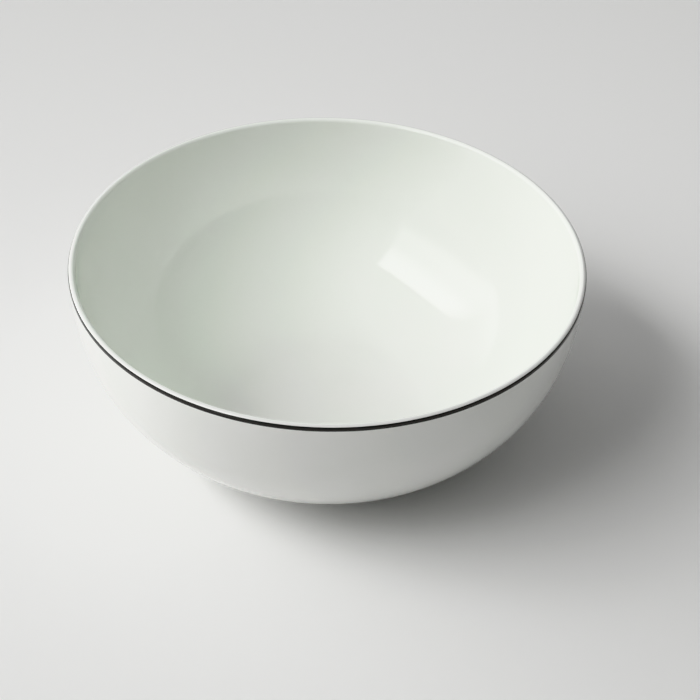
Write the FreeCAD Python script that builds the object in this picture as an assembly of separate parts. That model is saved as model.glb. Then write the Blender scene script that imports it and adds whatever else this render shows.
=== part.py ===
import FreeCAD, Part
import math
import os

# A deep, round porcelain serving bowl with a black enamel line on its lip.
#
# Frame: +Z up, origin on the axis in the plane that the foot stands on. Millimetres and degrees.
#
# Every piece is a ring or a dish turned about the axis, so each one is drawn as a section in the
# r-z plane and revolved. The pieces are what the kiln fuses together:
#   bowl_shell     biscuit porcelain: wall and floor, with a rebate below for the foot
#   foot_ring      biscuit porcelain ring, luted into the rebate with its slip fillets
#   inside_glaze   glaze coat from the floor up to the crown of the lip
#   outside_glaze  glaze coat from the crown down to the outside of the foot
#   base_glaze     glaze coat of the well inside the foot
#   rim_line       enamel line sunk into the outside glaze, on the lip's outer shoulder

# Driving dimensions
rim_diameter = 250.0
overall_height = 100.0
lip_thickness = 3.4
glaze_thickness = 0.25

# Outside of the wall: an almost upright band under the lip, then a rounder belly
flare = 1.5
upper_radius = 125.0
belly_start = 16.0
belly_radius = 88.0
floor_start = 86.0

# Inside of the wall: the belly turns tighter than outside, which makes the floor thicker
inner_belly_radius = 82.6

# Foot ring: where its fillets leave the belly, and the section below them
foot_outer_toe = 76.5
foot_inner_toe = 82.0
foot_fillet = 2.0
foot_taper = 8.0
foot_corner = 0.6
rebate_depth = 0.5
glaze_stop = 1.5

# Enamel line, measured from the middle of the lip's rounding
line_top_angle = 45.0
line_drop = 1.1
line_flats = 3
line_sunk = 0.10
line_proud = 0.03

lip_radius = lip_thickness / 2
crown_radius = rim_diameter / 2 - lip_radius
seat_depth = glaze_thickness + rebate_depth
UP, DOWN = 90.0, -90.0
OUTWARD, INWARD = -1, 1


def normal(angle):
    """Unit vector in the r-z plane, angle above the outward radius."""
    a = math.radians(angle)
    return FreeCAD.Vector(math.cos(a), 0, math.sin(a))


class Path:
    """A smooth surface line in the r-z plane, followed by the angle of the surface's normal.

    side is OUTWARD for a line that runs down the outside of a wall, INWARD for one that runs
    down its inside. A turn with a positive radius bulges, and one with a negative radius is
    hollow. edges(inset) draws the same line that much deeper in the material.
    """

    def __init__(self, point, angle, side):
        self.point = point
        self.angle = angle
        self.side = side
        self.steps = []

    def turn(self, radius, angle):
        centre = self.point - normal(self.angle) * radius
        self.steps.append(("arc", centre, radius, self.angle, angle))
        self.point = centre + normal(angle) * radius
        self.angle = angle
        return self

    def run(self, length):
        end = self.point + normal(self.angle + 90 * self.side) * length
        self.steps.append(("line", self.point, end, self.angle))
        self.point = end
        return self

    def run_down_to(self, height):
        drop = self.point.z - height
        return self.run(drop / -normal(self.angle + 90 * self.side).z)

    def to_axis(self, angle):
        """The one turn that ends on the axis with the normal at angle."""
        return self.turn(self.point.x / normal(self.angle).x, angle)

    def end(self, inset=0.0):
        return self.point - normal(self.angle) * inset

    def edges(self, inset=0.0):
        made = []
        for step in self.steps:
            if step[0] == "arc":
                centre, radius, first, last = step[1:]
                places = [first, (first + last) / 2, last]
                a, b, c = [centre + normal(p) * (radius - inset) for p in places]
                made.append(Part.Arc(a, b, c).toShape())
            else:
                start, end, angle = step[1:]
                shift = normal(angle) * inset
                made.append(Part.makeLine(start - shift, end - shift))
        return made


def crown(side):
    """A path that starts on the crown of the lip."""
    return Path(FreeCAD.Vector(crown_radius, 0, overall_height), UP, side)


def outside(last_angle):
    """From the crown of the lip down the outside, to where the normal reaches last_angle."""
    path = crown(OUTWARD)
    path.turn(lip_radius, -flare)
    path.turn(upper_radius, -belly_start)
    return path.turn(belly_radius, last_angle)


def inside():
    """From the crown of the lip down the inside to the middle of the floor."""
    path = crown(INWARD)
    path.turn(lip_radius, 180 - flare)
    path.turn(lip_thickness - upper_radius, 180 - belly_start)
    path.turn(-inner_belly_radius, 180 - floor_start)
    return path.to_axis(UP)


def belly_from(first_angle):
    """A path that starts on the belly, where the normal is at first_angle."""
    return Path(outside(first_angle).point, first_angle, OUTWARD)


def well():
    """The underside of the floor, from the inner toe of the foot to the axis."""
    return belly_from(-foot_inner_toe).turn(belly_radius, -floor_start).to_axis(DOWN)


def outer_foot(path):
    """Carries a path from the belly round the outer slip fillet and onto the side of the foot."""
    return path.turn(-foot_fillet, -foot_taper)


def inner_foot():
    """From the belly inside the foot, round its slip fillet and onto the side of the foot."""
    path = Path(outside(-foot_inner_toe).point, -foot_inner_toe, INWARD)
    return path.turn(-foot_fillet, foot_taper - 180)


def line(a, b):
    return Part.makeLine(a, b)


def across(path, outer, inner):
    """The straight step through the material at the path's end, between two depths."""
    return line(path.end(outer), path.end(inner))


def bead(path, thickness):
    """The rounded end of a glaze coat that stops at the path's end."""
    skin, root = path.end(), path.end(thickness)
    tip = (skin + root) * 0.5 + normal(path.angle + 90 * path.side) * (thickness / 2)
    return Part.Arc(skin, tip, root).toShape()


def revolve(edges):
    """One full turn of a closed section."""
    wire = Part.Wire(Part.__sortEdges__(edges))
    solid = Part.Face(wire).revolve(FreeCAD.Vector(0, 0, 0), FreeCAD.Vector(0, 0, 1), 360)
    return Part.Solid(solid) if solid.ShapeType == "Shell" else solid


def bowl_shell():
    inner = inside()
    wall = outside(-foot_outer_toe)
    seat = belly_from(-foot_outer_toe).turn(belly_radius, -foot_inner_toe)
    underside = well()
    edges = inner.edges(glaze_thickness) + wall.edges(glaze_thickness)
    edges += seat.edges(seat_depth) + underside.edges(glaze_thickness)
    edges.append(across(wall, glaze_thickness, seat_depth))
    edges.append(across(seat, glaze_thickness, seat_depth))
    edges.append(line(underside.end(glaze_thickness), inner.end(glaze_thickness)))
    return revolve(edges)


def foot_ring():
    seat = belly_from(-foot_outer_toe)
    edges = [across(seat, glaze_thickness, seat_depth)]
    seat.turn(belly_radius, -foot_inner_toe)
    edges.append(across(seat, glaze_thickness, seat_depth))
    edges += seat.edges(seat_depth)

    outer = outer_foot(belly_from(-foot_outer_toe))
    inner = inner_foot()
    corner = foot_corner + glaze_thickness
    for side in (outer, inner):
        side.run_down_to(foot_corner + corner * normal(side.angle).z)
        side.turn(corner, DOWN)
        edges += side.edges(glaze_thickness)
    edges.append(line(outer.end(glaze_thickness), inner.end(glaze_thickness)))
    return revolve(edges)


def inside_glaze():
    path = inside()
    edges = path.edges() + path.edges(glaze_thickness)
    edges.append(across(crown(INWARD), 0, glaze_thickness))
    edges.append(across(path, 0, glaze_thickness))
    return revolve(edges)


def rim_line():
    """Narrow flats round the shoulder of the lip, and one flat down the top of the wall."""
    skin, root = [], []
    for i in range(line_flats + 1):
        angle = line_top_angle - (line_top_angle + flare) * i / line_flats
        path = crown(OUTWARD).turn(lip_radius, angle)
        skin.append(path.end(-line_proud))
        root.append(path.end(line_sunk))
    path.turn(upper_radius, -flare - math.degrees(line_drop / upper_radius))
    skin.append(path.end(-line_proud))
    root.append(path.end(line_sunk))
    corners = skin + root[::-1]
    return revolve([line(a, b) for a, b in zip(corners, corners[1:] + corners[:1])])


def outside_glaze():
    """The coat from the crown to the foot, less the groove that the enamel line has sunk."""
    path = outer_foot(outside(-foot_outer_toe)).run_down_to(glaze_stop)
    edges = path.edges() + path.edges(glaze_thickness)
    edges.append(across(crown(OUTWARD), 0, glaze_thickness))
    edges.append(bead(path, glaze_thickness))
    return revolve(edges).cut(rim_line())


def base_glaze():
    foot = inner_foot().run_down_to(glaze_stop)
    underside = well()
    edges = foot.edges() + foot.edges(glaze_thickness)
    edges += underside.edges() + underside.edges(glaze_thickness)
    edges.append(bead(foot, glaze_thickness))
    edges.append(across(underside, 0, glaze_thickness))
    return revolve(edges)


pieces = {
    "bowl_shell": bowl_shell,
    "foot_ring": foot_ring,
    "inside_glaze": inside_glaze,
    "outside_glaze": outside_glaze,
    "base_glaze": base_glaze,
    "rim_line": rim_line,
}

os.makedirs("parts", exist_ok=True)
for name, make in pieces.items():
    shape = make()
    solid = shape.Solids[0]
    print(f"{name}: {len(shape.Solids)} solid, valid {solid.isValid()}, {solid.Volume:.1f} mm3")
    solid.exportStep(f"parts/{name}.step")
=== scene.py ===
import bmesh
import bpy
import math
from mathutils import Matrix, Vector, noise


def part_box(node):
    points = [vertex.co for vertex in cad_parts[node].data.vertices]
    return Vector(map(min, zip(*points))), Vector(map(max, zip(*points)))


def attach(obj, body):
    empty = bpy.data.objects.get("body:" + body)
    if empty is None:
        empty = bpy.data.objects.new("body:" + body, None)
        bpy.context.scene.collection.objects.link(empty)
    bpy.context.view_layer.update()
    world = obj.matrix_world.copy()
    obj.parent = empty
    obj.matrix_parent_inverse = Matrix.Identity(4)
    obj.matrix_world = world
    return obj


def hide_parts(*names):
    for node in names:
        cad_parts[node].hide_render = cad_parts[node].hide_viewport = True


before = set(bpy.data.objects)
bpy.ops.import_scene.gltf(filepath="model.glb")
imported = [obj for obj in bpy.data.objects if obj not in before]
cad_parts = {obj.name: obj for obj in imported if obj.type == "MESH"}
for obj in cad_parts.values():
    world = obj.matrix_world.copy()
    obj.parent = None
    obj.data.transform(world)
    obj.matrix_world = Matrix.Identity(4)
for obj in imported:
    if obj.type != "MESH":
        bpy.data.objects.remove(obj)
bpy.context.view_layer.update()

# The porcelain bowl's looks. Lengths are in metres and angles in degrees unless a name says otherwise.
#
# Every piece is turned about the Z axis from a section in the r-z plane. The section is measured
# along two lines that start on the crown of the lip: wall_outside() runs down to the foot, and
# wall_inside() runs down to the middle of the floor.

MM = 0.001

# The bowl's size, from the frame
rim_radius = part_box("outside_glaze")[1].x
bowl_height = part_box("outside_glaze")[1].z
rim_centre = Vector((0.0, 0.0, bowl_height))

# The section of the wall
lip_radius = 1.7 * MM
glaze_depth = 0.25 * MM
flare = 1.5
upper_radius = 125.0 * MM
belly_start = 16.0
belly_radius = 88.0 * MM
floor_start = 86.0
inner_upper_radius = upper_radius - 2 * lip_radius
inner_belly_radius = 82.6 * MM

# The foot
outer_toe = 76.5
inner_toe = 82.0
foot_fillet = 2.0 * MM
foot_taper = 8.0
foot_corner = 0.6 * MM
foot_seat = 0.75 * MM
glaze_stop = 1.5 * MM

# The enamel line: its edges, its depth, how square its section is, and how far its edges stray.
# A sway is its waves round the rim and its share of the straying.
line_top_angle = 38.0
line_drop = 1.1 * MM
line_sunk = 0.10 * MM
line_proud = 0.03 * MM
line_squareness = 5
line_sway = 0.07 * MM
slow_sway = (9.0, 0.80)
quick_sway = (45.0, 0.35)
quick_seed = 7.0
line_top_seed = 3.0
line_bottom_seed = 21.0

# The kiln's marks on the shape, all of them inward. Nothing moves within the still radius.
out_of_round = 0.08 * MM
out_of_round_turn = 0.9
glaze_waves = 0.03 * MM
wave_length = 38.0 * MM
still_radius = 3.8 * MM

TURN_STEPS = 720
ARC_STEP = 3.0
LINE_STEP = 2.0 * MM
SHARP_EDGE = 40.0
TOUCHING = 0.0001 * MM
UP, DOWN = 90.0, -90.0
OUTWARD, INWARD = -1, 1


def normal(angle):
    """(r, z) of the unit vector at an angle above the outward radius."""
    a = math.radians(angle)
    return math.cos(a), math.sin(a)


class Outline:
    """A smooth line of arcs and straights in the r-z plane, measured by length from its start.

    side is OUTWARD for a line that runs down the outside of a wall and INWARD for one that runs
    down its inside. angle is that of the surface's normal. A positive radius bulges.
    """

    def __init__(self, r, z, angle, side):
        self.r, self.z, self.angle, self.side = r, z, angle, side
        self.length = 0.0
        self.stops = [0.0]
        self.pieces = []

    def add(self, length, steps, place):
        self.pieces.append((self.length, length, place))
        self.stops += [self.length + length * (i + 1) / steps for i in range(steps)]
        self.length += length

    def turn(self, radius, angle):
        first, last = self.angle, angle
        nr, nz = normal(first)
        cr, cz = self.r - nr * radius, self.z - nz * radius

        def place(share, depth):
            pr, pz = normal(first + (last - first) * share)
            return cr + pr * (radius - depth), cz + pz * (radius - depth)

        swing = abs(last - first)
        self.add(math.radians(swing) * abs(radius), max(2, round(swing / ARC_STEP)), place)
        self.r, self.z = place(1.0, 0.0)
        self.angle = angle
        return self

    def run(self, length, steps):
        first_r, first_z = self.r, self.z
        nr, nz = normal(self.angle)
        dr, dz = normal(self.angle + 90 * self.side)

        def place(share, depth):
            along = length * share
            return first_r + dr * along - nr * depth, first_z + dz * along - nz * depth

        self.add(length, steps, place)
        self.r, self.z = place(1.0, 0.0)
        return self

    def run_down_to(self, height):
        fall = normal(self.angle + 90 * self.side)[1]
        length = (height - self.z) / fall
        return self.run(length, max(1, round(length / LINE_STEP)))

    def to_axis(self, angle):
        """The one turn that ends on the axis with the normal at angle."""
        return self.turn(self.r / normal(self.angle)[0], angle)

    def at(self, distance, depth=0.0):
        """(r, z) at a distance along the line, that deep in the material."""
        for start, length, place in self.pieces:
            if distance <= start + length:
                break
        return place((distance - start) / length, depth)


def crown(side):
    return Outline(rim_radius - lip_radius, bowl_height, UP, side)


def wall_outside(last_angle):
    path = crown(OUTWARD)
    path.turn(lip_radius, -flare)
    path.turn(upper_radius, -belly_start)
    return path.turn(belly_radius, last_angle)


def wall_inside():
    path = crown(INWARD)
    path.turn(lip_radius, 180 - flare)
    path.turn(-inner_upper_radius, 180 - belly_start)
    path.turn(-inner_belly_radius, 180 - floor_start)
    return path.to_axis(UP)


def belly_from(first_angle, side):
    path = wall_outside(first_angle)
    return Outline(path.r, path.z, first_angle, side)


# Vertices


def swing_noise(azimuth, waves, seed):
    """Smooth noise round the axis, from -1 to 1, that closes on itself."""
    around = Vector((math.cos(azimuth) * waves, math.sin(azimuth) * waves, seed))
    return noise.noise(around)


def sway(azimuth, seed):
    """How far a hand-banded edge of the enamel line strays."""
    slow_waves, slow_share = slow_sway
    quick_waves, quick_share = quick_sway
    slow = swing_noise(azimuth, slow_waves, seed)
    quick = swing_noise(azimuth, quick_waves, seed + quick_seed)
    return line_sway * (slow_share * slow + quick_share * quick)


def settled(point):
    """The same point after the kiln: a little out of round at the rim, with faint waves."""
    high = point.z / bowl_height
    azimuth = math.atan2(point.y, point.x)
    oval = out_of_round * high * high * (0.5 + 0.5 * math.cos(2 * azimuth + out_of_round_turn))
    waves = glaze_waves * high * (0.5 + 0.5 * noise.noise(point / wave_length))
    across = math.hypot(point.x, point.y)
    if across < still_radius:
        return point
    shrink = 1 - (oval + waves) / across
    return Vector((point.x * shrink, point.y * shrink, point.z))


class Row:
    """One full turn of vertices, a distance along an outline and a depth in the material.

    top and bottom are the shares of the enamel line's two swaying edges that the row follows.
    """

    def __init__(self, outline, distance, depth=0.0, top=0.0, bottom=0.0):
        self.outline, self.distance, self.depth = outline, distance, depth
        self.top, self.bottom = top, bottom

    def vertices(self, mesh, along):
        r, z = self.outline.at(self.distance, self.depth)
        if r < TOUCHING:
            made = [mesh.verts.new((0, 0, z))]
            made[0][along] = self.distance / MM
            return made
        made = []
        for i in range(TURN_STEPS):
            a = i / TURN_STEPS * math.tau
            distance = self.distance
            if self.top or self.bottom:
                distance += self.top * sway(a, line_top_seed)
                distance += self.bottom * sway(a, line_bottom_seed)
                r, z = self.outline.at(distance, self.depth)
            vertex = mesh.verts.new(settled(Vector((r * math.cos(a), r * math.sin(a), z))))
            vertex[along] = distance / MM
            made.append(vertex)
        return made


def face_ring(mesh, first, second):
    """Faces between two neighbouring rows, either of which may be one point on the axis."""
    for i in range(TURN_STEPS):
        j = (i + 1) % TURN_STEPS
        corners = [first[i % len(first)], second[i % len(second)]]
        corners += [second[j % len(second)], first[j % len(first)]]
        face = mesh.faces.new(list(dict.fromkeys(corners)))
        face.smooth = True


def turned(name, rows, closed):
    """A solid of revolution from its rows. A closed one is a ring. An open one ends on the axis."""
    mesh = bmesh.new()
    along = mesh.verts.layers.float.new("along")
    made = [row.vertices(mesh, along) for row in rows]
    pairs = list(zip(made, made[1:]))
    if closed:
        pairs.append((made[-1], made[0]))
    for first, second in pairs:
        face_ring(mesh, first, second)
    bmesh.ops.recalc_face_normals(mesh, faces=mesh.faces)
    for edge in mesh.edges:
        edge.smooth = edge.calc_face_angle(0.0) < math.radians(SHARP_EDGE)
    data = bpy.data.meshes.new(name)
    mesh.to_mesh(data)
    mesh.free()
    piece = bpy.data.objects.new(name, data)
    bpy.context.scene.collection.objects.link(piece)
    return piece


def down(outline, depth=0.0, first=0.0, every=1):
    """Rows from one distance to the end of an outline, at the outline's own stops."""
    last = outline.length
    middle = [s for s in outline.stops[::every] if first + TOUCHING < s < last - TOUCHING]
    return [Row(outline, s, depth) for s in [first, *middle, last]]


def back(outline, depth, every=2):
    """Rows from the end of an outline to its start."""
    return list(reversed(down(outline, depth, every=every)))


def bead(outline, depth):
    """Rows round the end of a glaze coat, which draws up into a small round bead."""
    end = Outline(outline.r, outline.z, outline.angle, outline.side)
    end.turn(depth / 2, outline.angle + 180 * outline.side)
    return [Row(end, s) for s in end.stops[1:-1]]


def inside_piece():
    path = wall_inside()
    rows = back(path, 0.0, every=1) + down(path, glaze_depth, every=2)
    return turned("glaze_inside", rows, closed=False)


def line_edges(path):
    """Distances along the outside wall of the enamel line's two edges."""
    top = math.radians(UP - line_top_angle) * lip_radius
    bottom = math.radians(UP + flare) * lip_radius + line_drop
    return top, bottom


def outside_piece():
    path = wall_outside(-outer_toe).turn(-foot_fillet, -foot_taper).run_down_to(glaze_stop)
    top, bottom = line_edges(path)
    calm = bottom + 3 * MM
    lip_steps = 14
    rows = [Row(path, top * i / lip_steps, top=i / lip_steps) for i in range(lip_steps + 1)]
    groove_steps = 6
    for i in range(groove_steps + 1):
        t = i / groove_steps
        rows.append(Row(path, top + (bottom - top) * t, line_sunk, 1 - t, t))
    calm_steps = 4
    for i in range(calm_steps):
        t = i / calm_steps
        rows.append(Row(path, bottom + (calm - bottom) * t, bottom=1 - t))
    rows += down(path, first=calm)
    rows += bead(path, glaze_depth)
    rows += back(path, glaze_depth)
    return turned("glaze_outside", rows, closed=True)


def enamel_piece():
    path = wall_outside(-belly_start)
    top, bottom = line_edges(path)
    rows = []
    skin_steps = 12
    for i in range(skin_steps + 1):
        t = i / skin_steps
        bulge = 1 - abs(2 * t - 1) ** line_squareness
        rows.append(Row(path, top + (bottom - top) * t, -line_proud * bulge, 1 - t, t))
    under_steps = 4
    for i in range(under_steps + 1):
        t = 1 - i / under_steps
        rows.append(Row(path, top + (bottom - top) * t, line_sunk, 1 - t, t))
    return turned("enamel_line", rows, closed=True)


def foot_sides(depth):
    """The outer and the inner side of the foot, each from its toe on the belly to the ground."""
    corner = foot_corner + depth
    outer = belly_from(-outer_toe, OUTWARD).turn(-foot_fillet, -foot_taper)
    inner = belly_from(-inner_toe, INWARD).turn(-foot_fillet, foot_taper - 180)
    for side in (outer, inner):
        side.run_down_to(foot_corner + corner * normal(side.angle)[1])
        side.turn(corner, DOWN)
    return outer, inner


def foot_piece():
    outer, inner = foot_sides(glaze_depth)
    seat = belly_from(-outer_toe, OUTWARD).turn(belly_radius, -inner_toe)
    rows = down(outer, glaze_depth)
    ground_steps = 4
    first_r, first_z = outer.at(outer.length, glaze_depth)
    last_r = inner.at(inner.length, glaze_depth)[0]
    ground = Outline(first_r, first_z, DOWN, OUTWARD).run(first_r - last_r, ground_steps)
    rows += [Row(ground, s) for s in ground.stops[1:-1]]
    rows += back(inner, glaze_depth, every=1)
    rows += back(seat, foot_seat, every=1)
    return turned("foot", rows, closed=True)


def base_piece():
    foot = belly_from(-inner_toe, INWARD)
    foot.turn(-foot_fillet, foot_taper - 180).run_down_to(glaze_stop)
    well = belly_from(-inner_toe, OUTWARD).turn(belly_radius, -floor_start).to_axis(DOWN)
    rows = back(well, 0.0, every=1)[:-1] + down(foot)
    rows += bead(foot, glaze_depth)
    rows += back(foot, glaze_depth)[:-1] + down(well, glaze_depth)
    return turned("glaze_base", rows, closed=False)


# Materials


class Nodes:
    """A short way to write a node tree."""

    def __init__(self, tree):
        self.tree = tree

    def link(self, value, socket):
        if isinstance(value, bpy.types.NodeSocket):
            self.tree.links.new(value, socket)
        else:
            socket.default_value = value

    def add(self, kind, output=0, settings=None, **inputs):
        node = self.tree.nodes.new(kind)
        for key, value in (settings or {}).items():
            setattr(node, key, value)
        for key, value in inputs.items():
            self.link(value, node.inputs[key.replace("_", " ")])
        return node.outputs[output]

    def place(self):
        return self.add("ShaderNodeTexCoord", "Object")

    def attribute(self, name):
        return self.add("ShaderNodeAttribute", "Fac", {"attribute_name": name})

    def noise(self, vector, scale, detail=2.0, roughness=0.5):
        return self.add(
            "ShaderNodeTexNoise", 0, Vector=vector, Scale=scale, Detail=detail, Roughness=roughness
        )

    def math(self, operation, a, b=0.0, c=0.0):
        node = self.tree.nodes.new("ShaderNodeMath")
        node.operation = operation
        for value, socket in zip((a, b, c), node.inputs):
            self.link(value, socket)
        return node.outputs[0]

    def product(self, *factors):
        result = factors[0]
        for factor in factors[1:]:
            result = self.math("MULTIPLY", result, factor)
        return result

    def vector(self, operation, a, b, output=0):
        node = self.tree.nodes.new("ShaderNodeVectorMath")
        node.operation = operation
        self.link(a, node.inputs[0])
        self.link(b, node.inputs[1])
        return node.outputs[output]

    def dot(self, a, b):
        return self.vector("DOT_PRODUCT", a, b, "Value")

    def choose(self, share, first, second):
        """A number between first and second."""
        node = self.tree.nodes.new("ShaderNodeMix")
        self.link(share, node.inputs[0])
        self.link(first, node.inputs[2])
        self.link(second, node.inputs[3])
        return node.outputs[0]

    def between(self, value, low, high, first=0.0, last=1.0):
        """value's place between low and high, as a smooth step from first to last."""
        node = self.tree.nodes.new("ShaderNodeMapRange")
        node.interpolation_type = "SMOOTHSTEP"
        for source, socket in zip((value, low, high, first, last), node.inputs):
            self.link(source, socket)
        return node.outputs[0]

    def mix(self, share, first, second):
        """A colour between first and second."""
        node = self.tree.nodes.new("ShaderNodeMix")
        node.data_type = "RGBA"
        self.link(share, node.inputs[0])
        self.link(first, node.inputs[6])
        self.link(second, node.inputs[7])
        return node.outputs[2]

    def bump(self, height, depth):
        return self.add("ShaderNodeBump", 0, Strength=1.0, Distance=depth, Height=height)


class Surface(Nodes):
    """A material's node tree, round its one Principled shader."""

    def __init__(self, name):
        self.material = bpy.data.materials.new(name)
        self.material.use_nodes = True
        super().__init__(self.material.node_tree)
        self.shader = self.tree.nodes["Principled BSDF"]

    def finish(self, colour, roughness, bump, ior):
        self.link(colour, self.shader.inputs["Base Color"])
        self.link(roughness, self.shader.inputs["Roughness"])
        self.link(bump, self.shader.inputs["Normal"])
        self.link(ior, self.shader.inputs["IOR"])
        return self.material

    def let_through(self, share, colour):
        """Gives a share of the surface to the light that soaks through from behind.

        The front is made brighter in turn, so that it gives back as much light as before.
        """
        gain = 1 / (1 - share)
        front = self.shader.inputs["Base Color"]
        bright = self.add("ShaderNodeVectorMath", 0, {"operation": "SCALE"}, Scale=gain)
        self.link(front.links[0].from_socket, bright.node.inputs[0])
        self.link(bright, front)
        self.shader.inputs["Specular IOR Level"].default_value *= gain

        output = self.tree.nodes["Material Output"]
        both = self.tree.nodes.new("ShaderNodeMixShader")
        self.link(share, both.inputs[0])
        self.link(self.shader.outputs[0], both.inputs[1])
        self.link(self.add("ShaderNodeBsdfTranslucent", 0, Color=colour), both.inputs[2])
        self.link(both.outputs[0], output.inputs["Surface"])


# A range is the part of a noise, which runs from 0 to 1, that its change is spread over.

# Colours of the glaze where it is plain, thin over the lip, and thick. The last is the light that
# soaks through the wall.
glaze_colour = (0.868, 0.872, 0.850, 1)
glaze_thin = (0.880, 0.886, 0.868, 1)
glaze_thick = (0.854, 0.867, 0.838, 1)
soak_share = 0.16
soak_colour = (0.79, 1.0, 0.76, 1)
glaze_roughness = (0.045, 0.075)
glaze_index = 1.5
glaze_cloud_scale = 22.0
glaze_cloud_range = (0.3, 0.75)
glaze_sheen_scale = 60.0
glaze_sheen_range = (0.3, 0.7)

# The lip's thin glaze ends between two distances from the crown, in millimetres
thin_glaze_end = (0.6, 2.6)

# Iron specks: how closely the cells that hold them stand, and how large and how faint they are
speck_colour = (0.36, 0.34, 0.30, 1)
speck_cells = 55.0
speck_size = 0.008
speck_edge = (-0.004, 0.002)
speck_strength = 0.35

orange_peel_scale = 210.0
orange_peel_depth = 0.008 * MM


def glaze_material(name, translucent=False):
    """Clear glaze on cool white porcelain, with clouds, a few specks and a faint orange peel."""
    n = Surface(name)
    place = n.place()
    cloud = n.noise(place, glaze_cloud_scale, detail=3.0)
    colour = n.mix(n.between(cloud, *glaze_cloud_range), glaze_colour, glaze_thick)
    colour = n.mix(n.between(n.attribute("along"), *thin_glaze_end), glaze_thin, colour)

    cells = n.tree.nodes.new("ShaderNodeTexVoronoi")
    cells.inputs["Scale"].default_value = speck_cells
    n.link(place, cells.inputs["Vector"])
    size = n.math("MULTIPLY_ADD", cells.outputs["Color"], 2 * speck_size, -speck_size)
    inside = n.math("SUBTRACT", size, cells.outputs["Distance"])
    speck = n.between(inside, *speck_edge, 0.0, speck_strength)
    colour = n.mix(speck, colour, speck_colour)

    peel = n.noise(place, orange_peel_scale)
    sheen = n.noise(place, glaze_sheen_scale, detail=4.0)
    rough = n.between(sheen, *glaze_sheen_range, *glaze_roughness)
    n.finish(colour, rough, n.bump(peel, orange_peel_depth), glaze_index)
    if translucent:
        n.let_through(soak_share, soak_colour)
    return n.material


enamel_thick = (0.024, 0.024, 0.023, 1)
enamel_thin = (0.055, 0.053, 0.050, 1)
enamel_colour_range = (0.35, 0.75)
enamel_roughness = (0.14, 0.26)
enamel_roughness_range = (0.3, 0.8)
enamel_grain_scale = 1500.0
enamel_grain_depth = 0.002 * MM
enamel_index = 1.55
brush_streaks = (30.0, 30.0, 2600.0)


def enamel_material():
    """Black enamel that a banding brush laid on, so its streaks run round the bowl."""
    n = Surface("black_enamel")
    place = n.place()
    brushed = n.noise(n.vector("MULTIPLY", place, brush_streaks), 1.0, detail=3.0)
    colour = n.mix(n.between(brushed, *enamel_colour_range), enamel_thick, enamel_thin)
    rough = n.between(brushed, *enamel_roughness_range, *enamel_roughness)
    grain = n.noise(place, enamel_grain_scale)
    return n.finish(colour, rough, n.bump(grain, enamel_grain_depth), enamel_index)


biscuit_colour = (0.74, 0.72, 0.67, 1)
biscuit_cloud = (0.66, 0.63, 0.57, 1)
biscuit_grain = (0.50, 0.47, 0.42, 1)
scuff_colour = (0.36, 0.35, 0.33, 1)
scuff_strength = 0.55
standing_face = (0.6 * MM, 0.05 * MM)
biscuit_roughness = (0.62, 0.80)
standing_polish = 0.2
biscuit_cloud_scale = 90.0
biscuit_cloud_range = (0.3, 0.7)
biscuit_grain_scale = 2600.0
biscuit_grain_depth = 0.03 * MM
biscuit_grain_range = (0.62, 0.75)
biscuit_roughness_range = (0.2, 0.8)
scuff_scale = 160.0
scuff_range = (0.52, 0.64)
biscuit_index = 1.5


def biscuit_material():
    """Bare porcelain: fine-grained and matt, polished and a little grey where it stands."""
    n = Surface("bare_biscuit")
    place = n.place()
    grain = n.noise(place, biscuit_grain_scale, detail=4.0, roughness=0.6)
    cloud = n.noise(place, biscuit_cloud_scale, detail=3.0)
    colour = n.mix(n.between(cloud, *biscuit_cloud_range), biscuit_colour, biscuit_cloud)
    colour = n.mix(n.between(grain, *biscuit_grain_range), colour, biscuit_grain)

    height = n.add("ShaderNodeSeparateXYZ", "Z", Vector=place)
    ground = n.between(height, *standing_face)
    scuffs = n.between(n.noise(place, scuff_scale, detail=5.0, roughness=0.7), *scuff_range)
    colour = n.mix(n.product(scuffs, ground, scuff_strength), colour, scuff_colour)
    matt = n.between(grain, *biscuit_roughness_range, *biscuit_roughness)
    rough = n.math("SUBTRACT", matt, n.product(ground, standing_polish))
    return n.finish(colour, rough, n.bump(grain, biscuit_grain_depth), biscuit_index)


# The floor's colour holds a painted pool of light: it is palest to the left of the bowl and painted
# darker away from it.
light_pool_centre = (-0.22, -0.02, 0.0)
light_pool_radius = 1.2
painted_pool_colour = (0.885, 0.885, 0.881, 1)
painted_dim_floor_colour = (0.61, 0.61, 0.606, 1)
floor_black = (0.0, 0.0, 0.0, 1)
floor_cloud = (0.985, 1.0)
floor_cloud_scale = 1.7
floor_roughness = (0.70, 0.85)
floor_noise_range = (0.2, 0.8)
floor_tooth_scale = 900.0
floor_tooth_depth = 0.02 * MM
floor_index = 1.35


def floor_material():
    """A matt pale board with a fine tooth, hardly visible clouds and a painted pool of light."""
    n = Surface("pale_floor")
    place = n.place()
    away = n.vector("DISTANCE", place, light_pool_centre, "Value")
    # Painted light: the colour is palest at the pool's centre and painted darker out to its radius,
    # standing in for the window light's falloff.
    colour = n.mix(n.between(away, 0.0, light_pool_radius), painted_pool_colour, painted_dim_floor_colour)
    cloud = n.noise(place, floor_cloud_scale)
    colour = n.mix(n.between(cloud, *floor_noise_range, *floor_cloud), floor_black, colour)
    tooth = n.noise(place, floor_tooth_scale, detail=3.0)
    rough = n.between(tooth, *floor_noise_range, *floor_roughness)
    return n.finish(colour, rough, n.bump(tooth, floor_tooth_depth), floor_index)


# The studio

# The light comes from the room around the set, as a radiance for each direction that it comes from.
# The window stands upright, facing the set. Places on it are slopes: along it, with the camera's end
# positive, and up it. Each edge is the soft step from the first slope, outside it, to the second.
# Its sky is brighter higher up.
window_azimuth = -150.0
window_front = (0.48, 0.36)
window_back = (-1.15, -0.65)
window_foot = (0.38, 0.60)
window_top = (1.60, 1.48)
low_sky = 3.1
high_sky = 8.6
high_sky_start = (0.80, 1.20)

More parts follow.
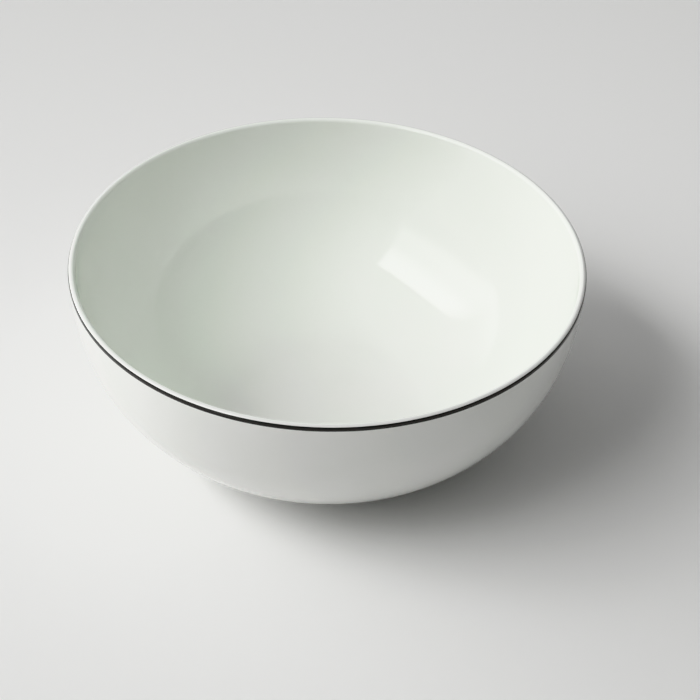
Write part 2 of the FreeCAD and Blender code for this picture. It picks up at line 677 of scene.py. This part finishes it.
# Broad soft lights: azimuth, elevation, narrowness and radiance
far_wall = (-205.0, 5.0, 16.0, 7.3)
ceiling = (0.0, 90.0, 2.0, 0.52)
right_wall = (0.0, 16.7, 2.0, 0.10)
light_colour = (1.0, 1.0, 0.992, 1)

# What the camera itself sees behind the floor
backdrop = 0.72

camera_elevation = 38.71
camera_roll = 1.61
camera_lens = 123.4
camera_sensor = 36.0
camera_distance = 1.159
rim_left_of_view = 0.530
rim_above_view = 2.183

floor_radius = 6.0
floor_drop = 0.02 * MM


def make_floor():
    mesh = bmesh.new()
    bmesh.ops.create_circle(mesh, cap_ends=True, segments=96, radius=floor_radius)
    data = bpy.data.meshes.new("floor")
    mesh.to_mesh(data)
    mesh.free()
    floor = bpy.data.objects.new("floor", data)
    floor.location.z = -floor_drop
    bpy.context.scene.collection.objects.link(floor)
    data.materials.append(floor_material())


def direction(azimuth, elevation):
    a, e = math.radians(azimuth), math.radians(elevation)
    return math.cos(a) * math.cos(e), math.sin(a) * math.cos(e), math.sin(e)


def make_light():
    """The room: a window, two pale walls and the ceiling."""
    world = bpy.data.worlds.new("room")
    world.use_nodes = True
    n = Nodes(world.node_tree)
    looking = n.add("ShaderNodeTexCoord", "Generated")
    facing = n.dot(looking, direction(window_azimuth, 0))
    along = n.math("DIVIDE", n.dot(looking, direction(window_azimuth + 90, 0)), facing)
    height = n.math("DIVIDE", n.dot(looking, (0.0, 0.0, 1.0)), facing)

    light = n.product(
        n.between(along, *window_front),
        n.between(along, *window_back),
        n.between(height, *window_foot),
        n.between(height, *window_top),
        n.math("GREATER_THAN", facing, 0.0),
        n.between(height, *high_sky_start, low_sky, high_sky),
    )
    for azimuth, elevation, narrowness, radiance in (far_wall, ceiling, right_wall):
        towards = n.math("MAXIMUM", n.dot(looking, direction(azimuth, elevation)), 0.0)
        lobe = n.math("POWER", towards, narrowness)
        light = n.math("MULTIPLY_ADD", lobe, radiance, light)
    seen = n.add("ShaderNodeLightPath", "Is Camera Ray")
    room = n.tree.nodes["Background"]
    room.inputs["Color"].default_value = light_colour
    n.link(n.choose(seen, light, backdrop), room.inputs["Strength"])
    bpy.context.scene.world = world


def make_camera():
    data = bpy.data.cameras.new("camera")
    data.sensor_width = camera_sensor
    data.lens = camera_lens
    camera = bpy.data.objects.new("camera", data)
    tilt = Matrix.Rotation(math.radians(90 - camera_elevation), 3, "X")
    turned_camera = tilt @ Matrix.Rotation(math.radians(camera_roll), 3, "Z")
    left = math.tan(math.radians(rim_left_of_view))
    above = math.tan(math.radians(rim_above_view))
    to_rim = turned_camera @ Vector((-left, above, -1.0)).normalized()
    camera.location = rim_centre - to_rim * camera_distance
    camera.rotation_mode = "QUATERNION"
    camera.rotation_quaternion = turned_camera.to_quaternion()
    bpy.context.scene.collection.objects.link(camera)
    bpy.context.scene.camera = camera


# Light that soaks through the inside glaze passes out through the rest of the wall, so nothing
# stands in its way.
wall_glaze = glaze_material("white_glaze")
inner_glaze = glaze_material("translucent_glaze", translucent=True)
biscuit = biscuit_material()
finishes = [
    (inside_piece(), "inside_glaze", "glaze", inner_glaze),
    (outside_piece(), "outside_glaze", "glaze", wall_glaze),
    (base_piece(), "base_glaze", "glaze", wall_glaze),
    (enamel_piece(), "rim_line", "enamel", enamel_material()),
    (foot_piece(), "foot_ring", "biscuit", biscuit),
]
for piece, node, slot, material in finishes:
    piece.data.materials.append(material)
    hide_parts(node)
    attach(piece, "root")
    piece.visible_transmission = False

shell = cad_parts["bowl_shell"]
shell.visible_transmission = False
shell.data.materials.clear()
shell.data.materials.append(biscuit)

make_floor()
make_light()
make_camera()
bpy.context.scene.view_settings.view_transform = "Khronos PBR Neutral"
